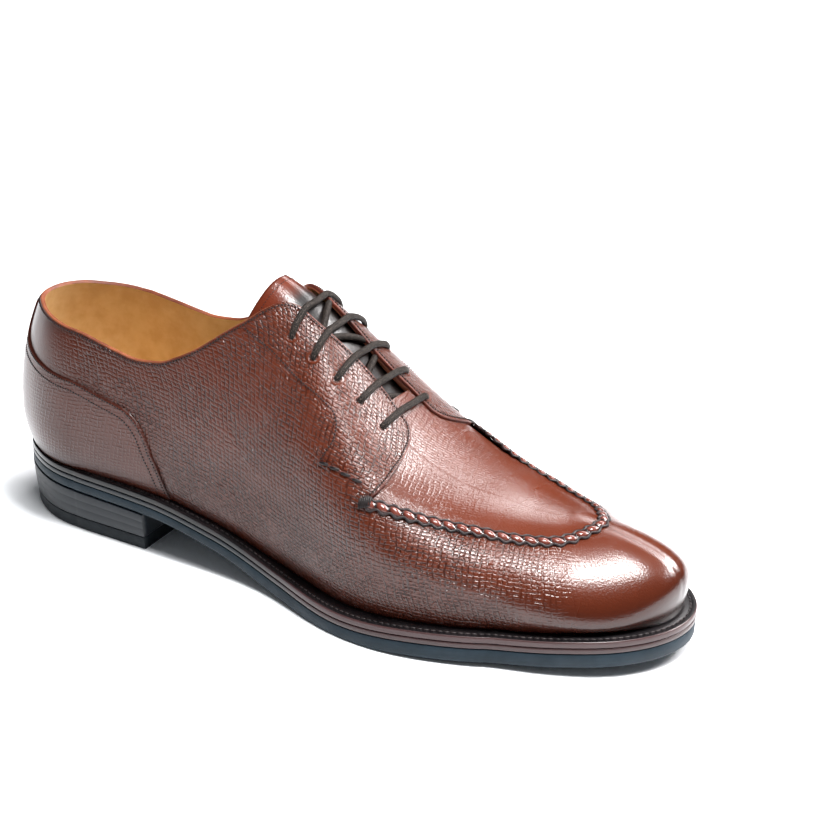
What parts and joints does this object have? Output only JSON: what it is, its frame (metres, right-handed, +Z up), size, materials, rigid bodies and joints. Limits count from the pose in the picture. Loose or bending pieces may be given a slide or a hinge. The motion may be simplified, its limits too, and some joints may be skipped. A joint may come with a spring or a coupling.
{
  "type": "derby shoe",
  "caption": "Right derby shoe with a raised apron and a split toe, open laced facings, a heel counter, a welted leather and rubber sole and a stacked heel.",
  "frame": {"origin": "on the ground, under the middle of the shoe's bounding box", "axes": "+X from heel to toe, +Y towards the inner side of the foot, +Z up"},
  "size_m": [0.3098, 0.1104, 0.1206],
  "materials": {
    "upper_leather": "satin",
    "counter_leather": "satin",
    "tongue_leather": "satin",
    "insole_leather": "matte",
    "welt_leather": "satin",
    "midsole_leather": "satin",
    "heel_leather": "satin",
    "sole_rubber": "matte",
    "lift_rubber": "matte",
    "lace": "matte"
  },
  "bodies": {
    "root": {"outsole": "sole_rubber", "midsole": "midsole_leather", "welt": "welt_leather", "heel_stack": "heel_leather", "top_lift": "lift_rubber", "insole": "insole_leather", "upper": "upper_leather", "heel_counter": "counter_leather", "tongue": "tongue_leather", "lace_bar_1": "lace", "lace_bar_2": "lace", "lace_bar_3": "lace", "lace_bar_4": "lace", "lace_bar_5": "lace"}
  },
  "joints": []
}
